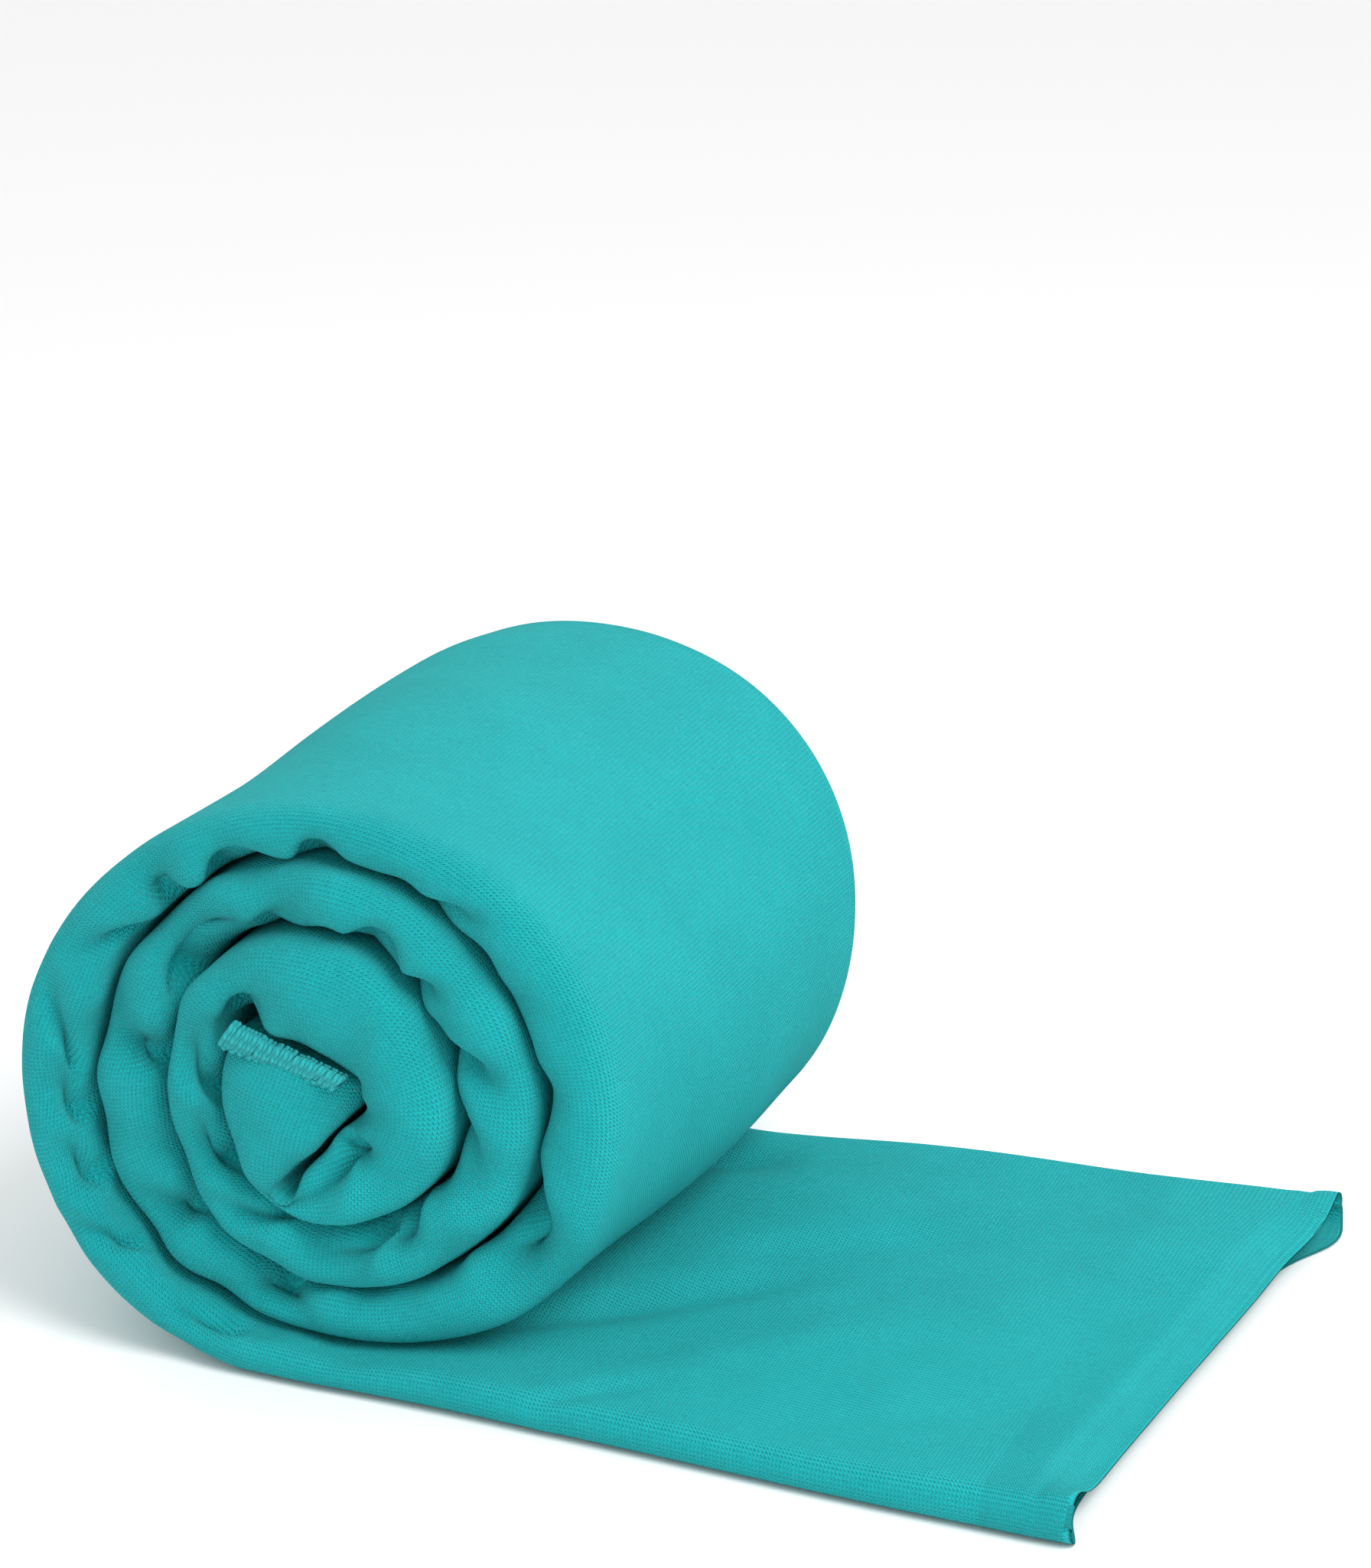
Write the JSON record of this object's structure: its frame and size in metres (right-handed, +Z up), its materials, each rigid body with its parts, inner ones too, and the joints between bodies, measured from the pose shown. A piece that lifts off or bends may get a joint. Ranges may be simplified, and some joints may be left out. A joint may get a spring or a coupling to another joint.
{
  "type": "quick dry towel",
  "caption": "Quick-dry travel towel folded lengthwise in three and rolled up, with its free end lying flat; the roll opens and the free end wraps up.",
  "frame": {"origin": "on the table, at the middle of the towel's length and width", "axes": "+X along the strip towards its free end, Y along the roll's axis, +Z up"},
  "size_m": [0.3219, 0.2065, 0.1647],
  "materials": {
    "towel_cloth": "soft knitted microfibre with a short nap",
    "overlock_thread": "matte polyester overlock stitching"
  },
  "bodies": {
    "base_strip": {"base_strip": "towel_cloth"},
    "coil_01": {"coil_01": "towel_cloth"},
    "coil_02": {"coil_02": "towel_cloth"},
    "coil_03": {"coil_03": "towel_cloth"},
    "coil_04": {"coil_04": "towel_cloth"},
    "coil_05": {"coil_05": "towel_cloth"},
    "coil_06": {"coil_06": "towel_cloth"},
    "coil_07": {"coil_07": "towel_cloth"},
    "coil_08": {"coil_08": "towel_cloth"},
    "coil_09": {"coil_09": "towel_cloth"},
    "coil_10": {"coil_10": "towel_cloth"},
    "coil_11": {"coil_11": "towel_cloth"},
    "coil_12": {"coil_12": "towel_cloth"},
    "coil_13": {"coil_13": "towel_cloth"},
    "coil_14": {"coil_14": "towel_cloth"},
    "coil_15": {"coil_15": "towel_cloth"},
    "coil_16": {"coil_16": "towel_cloth"},
    "core": {"core_fold": "towel_cloth", "core_lobe": "towel_cloth", "core_side_overlock": "overlock_thread", "core_end_hem": "overlock_thread"},
    "tail_01": {"tail_01": "towel_cloth"},
    "tail_02": {"tail_02": "towel_cloth"},
    "tail_03": {"tail_03": "towel_cloth"},
    "tail_04": {"tail_04": "towel_cloth", "tail_end_hem": "overlock_thread"}
  },
  "joints": [
    {"name": "unroll", "type": "hinge", "parent": "base_strip", "child": "coil_01", "pos_m": [-0.11461, 0, 0.01511], "axis": [0, -1, 0], "range_deg": [0, 60]},
    {"name": "unroll_02", "type": "hinge", "parent": "coil_01", "child": "coil_02", "pos_m": [-0.15457, 0, 0.08431], "axis": [0, -1, 0], "range_deg": [0, 60]},
    {"name": "unroll_03", "type": "hinge", "parent": "coil_02", "child": "coil_03", "pos_m": [-0.11645, 0, 0.15033], "axis": [0, -1, 0], "range_deg": [0, 60]},
    {"name": "unroll_04", "type": "hinge", "parent": "coil_03", "child": "coil_04", "pos_m": [-0.04391, 0, 0.15033], "axis": [0, -1, 0], "range_deg": [0, 60]},
    {"name": "unroll_05", "type": "hinge", "parent": "coil_04", "child": "coil_05", "pos_m": [-0.00948, 0, 0.09069], "axis": [0, -1, 0], "range_deg": [0, 60]},
    {"name": "unroll_06", "type": "hinge", "parent": "coil_05", "child": "coil_06", "pos_m": [-0.04207, 0, 0.03424], "axis": [0, -1, 0], "range_deg": [0, 60]},
    {"name": "unroll_07", "type": "hinge", "parent": "coil_06", "child": "coil_07", "pos_m": [-0.10357, 0, 0.03424], "axis": [0, -1, 0], "range_deg": [0, 60]},
    {"name": "unroll_08", "type": "hinge", "parent": "coil_07", "child": "coil_08", "pos_m": [-0.13248, 0, 0.08431], "axis": [0, -1, 0], "range_deg": [0, 60]},
    {"name": "unroll_09", "type": "hinge", "parent": "coil_08", "child": "coil_09", "pos_m": [-0.10541, 0, 0.1312], "axis": [0, -1, 0], "range_deg": [0, 60]},
    {"name": "unroll_10", "type": "hinge", "parent": "coil_09", "child": "coil_10", "pos_m": [-0.05495, 0, 0.1312], "axis": [0, -1, 0], "range_deg": [0, 60]},
    {"name": "unroll_11", "type": "hinge", "parent": "coil_10", "child": "coil_11", "pos_m": [-0.03156, 0, 0.09069], "axis": [0, -1, 0], "range_deg": [0, 60]},
    {"name": "unroll_12", "type": "hinge", "parent": "coil_11", "child": "coil_12", "pos_m": [-0.05311, 0, 0.05336], "axis": [0, -1, 0], "range_deg": [0, 60]},
    {"name": "unroll_13", "type": "hinge", "parent": "coil_12", "child": "coil_13", "pos_m": [-0.09253, 0, 0.05336], "axis": [0, -1, 0], "range_deg": [0, 60]},
    {"name": "unroll_14", "type": "hinge", "parent": "coil_13", "child": "coil_14", "pos_m": [-0.11039, 0, 0.08431], "axis": [0, -1, 0], "range_deg": [0, 60]},
    {"name": "unroll_15", "type": "hinge", "parent": "coil_14", "child": "coil_15", "pos_m": [-0.09437, 0, 0.11207], "axis": [0, -1, 0], "range_deg": [0, 60]},
    {"name": "unroll_16", "type": "hinge", "parent": "coil_15", "child": "coil_16", "pos_m": [-0.06599, 0, 0.11207], "axis": [0, -1, 0], "range_deg": [0, 60]},
    {"name": "unroll_core", "type": "hinge", "parent": "coil_16", "child": "core", "pos_m": [-0.05365, 0, 0.09069], "axis": [0, -1, 0], "range_deg": [0, 60]},
    {"name": "tail_wrap", "type": "hinge", "parent": "base_strip", "child": "tail_01", "pos_m": [-0.019, 0, 0.006], "axis": [0, -1, 0], "range_deg": [0, 28]},
    {"name": "tail_wrap_02", "type": "hinge", "parent": "tail_01", "child": "tail_02", "pos_m": [0.019, 0, 0.006], "axis": [0, -1, 0], "range_deg": [0, 28]},
    {"name": "tail_wrap_03", "type": "hinge", "parent": "tail_02", "child": "tail_03", "pos_m": [0.057, 0, 0.006], "axis": [0, -1, 0], "range_deg": [0, 28]},
    {"name": "tail_wrap_04", "type": "hinge", "parent": "tail_03", "child": "tail_04", "pos_m": [0.095, 0, 0.006], "axis": [0, -1, 0], "range_deg": [0, 28]}
  ],
  "couplings": [
    {"joint": "unroll_02", "follows": "unroll", "ratio": 1},
    {"joint": "unroll_03", "follows": "unroll", "ratio": 1},
    {"joint": "unroll_04", "follows": "unroll", "ratio": 1},
    {"joint": "unroll_05", "follows": "unroll", "ratio": 1},
    {"joint": "unroll_06", "follows": "unroll", "ratio": 1},
    {"joint": "unroll_07", "follows": "unroll", "ratio": 1},
    {"joint": "unroll_08", "follows": "unroll", "ratio": 1},
    {"joint": "unroll_09", "follows": "unroll", "ratio": 1},
    {"joint": "unroll_10", "follows": "unroll", "ratio": 1},
    {"joint": "unroll_11", "follows": "unroll", "ratio": 1},
    {"joint": "unroll_12", "follows": "unroll", "ratio": 1},
    {"joint": "unroll_13", "follows": "unroll", "ratio": 1},
    {"joint": "unroll_14", "follows": "unroll", "ratio": 1},
    {"joint": "unroll_15", "follows": "unroll", "ratio": 1},
    {"joint": "unroll_16", "follows": "unroll", "ratio": 1},
    {"joint": "unroll_core", "follows": "unroll", "ratio": 1},
    {"joint": "tail_wrap_02", "follows": "tail_wrap", "ratio": 1},
    {"joint": "tail_wrap_03", "follows": "tail_wrap", "ratio": 1},
    {"joint": "tail_wrap_04", "follows": "tail_wrap", "ratio": 1}
  ]
}
